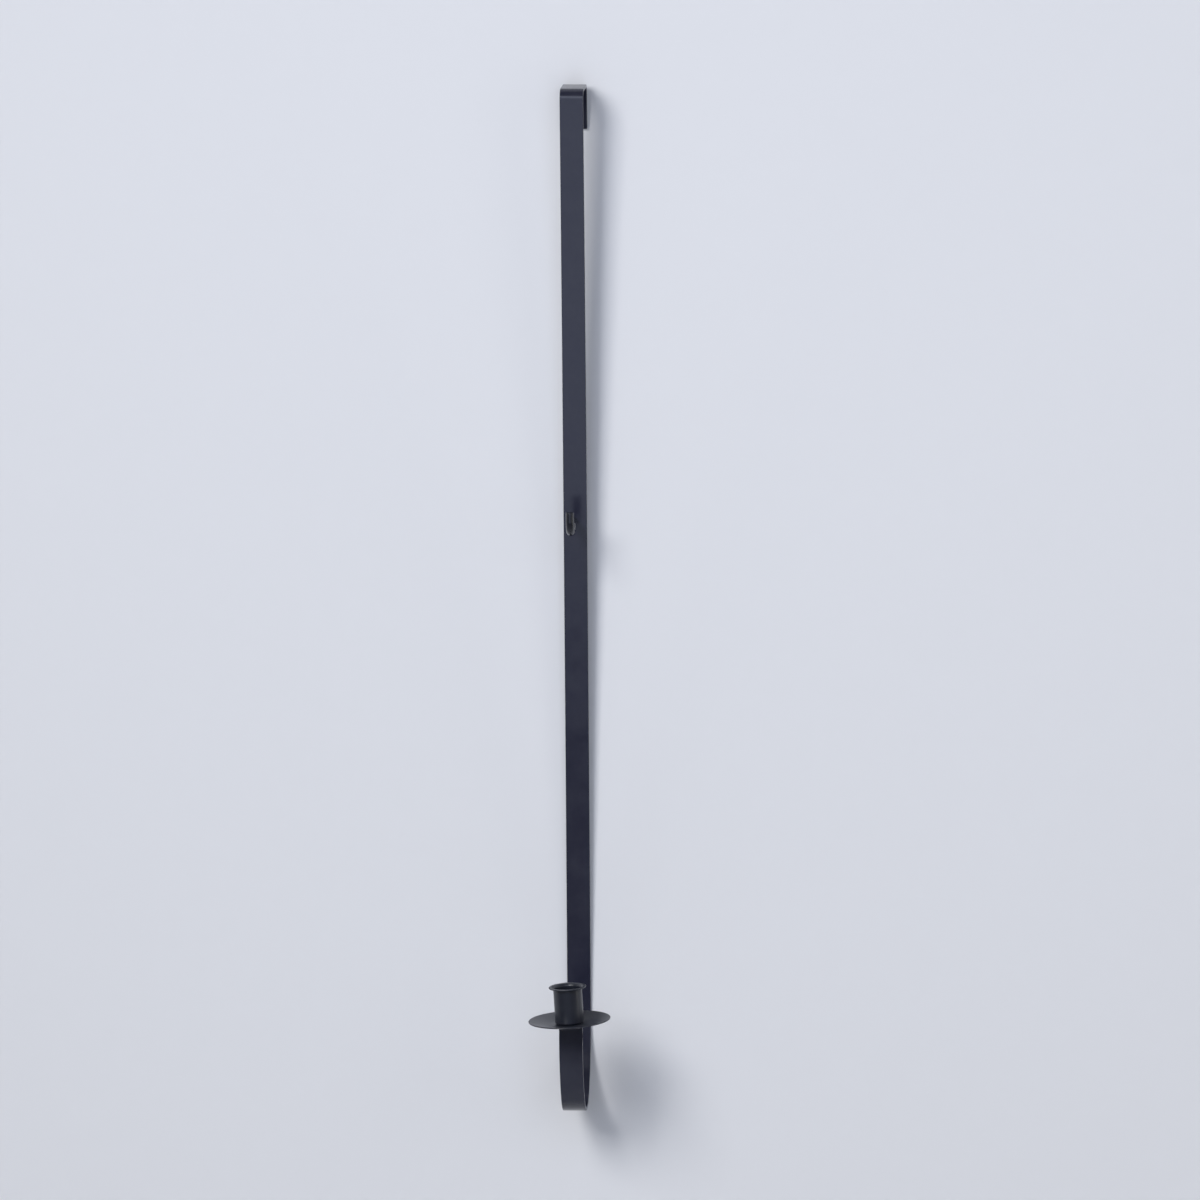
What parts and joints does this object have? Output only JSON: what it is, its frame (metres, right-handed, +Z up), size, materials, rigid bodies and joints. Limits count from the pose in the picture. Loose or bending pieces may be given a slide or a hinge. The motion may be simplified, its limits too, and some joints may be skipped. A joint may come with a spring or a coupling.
{
  "type": "wall wreath candle holder",
  "caption": "Long flat bar that hangs from a hook at its top, with a round rod hook for a wreath at mid height and a J at the bottom that carries a drip pan and a taper candle cup.",
  "frame": {"origin": "middle of the underside of the hanging hook's level top, where it sits on what it hangs from", "axes": "+Z up, +Y towards the wall, +X to the right as seen from the room"},
  "size_m": [0.07, 0.1386, 0.8775],
  "materials": {
    "bar_steel": "satin black paint over hammered mild steel",
    "sheet_steel": "satin black paint over pressed sheet steel",
    "rivet_steel": "satin black paint over a peened steel rivet"
  },
  "bodies": {
    "root": {"hanger_bar": "bar_steel", "wreath_hook": "bar_steel", "drip_pan": "sheet_steel", "candle_cup": "sheet_steel", "cup_rivet": "rivet_steel"}
  },
  "joints": []
}
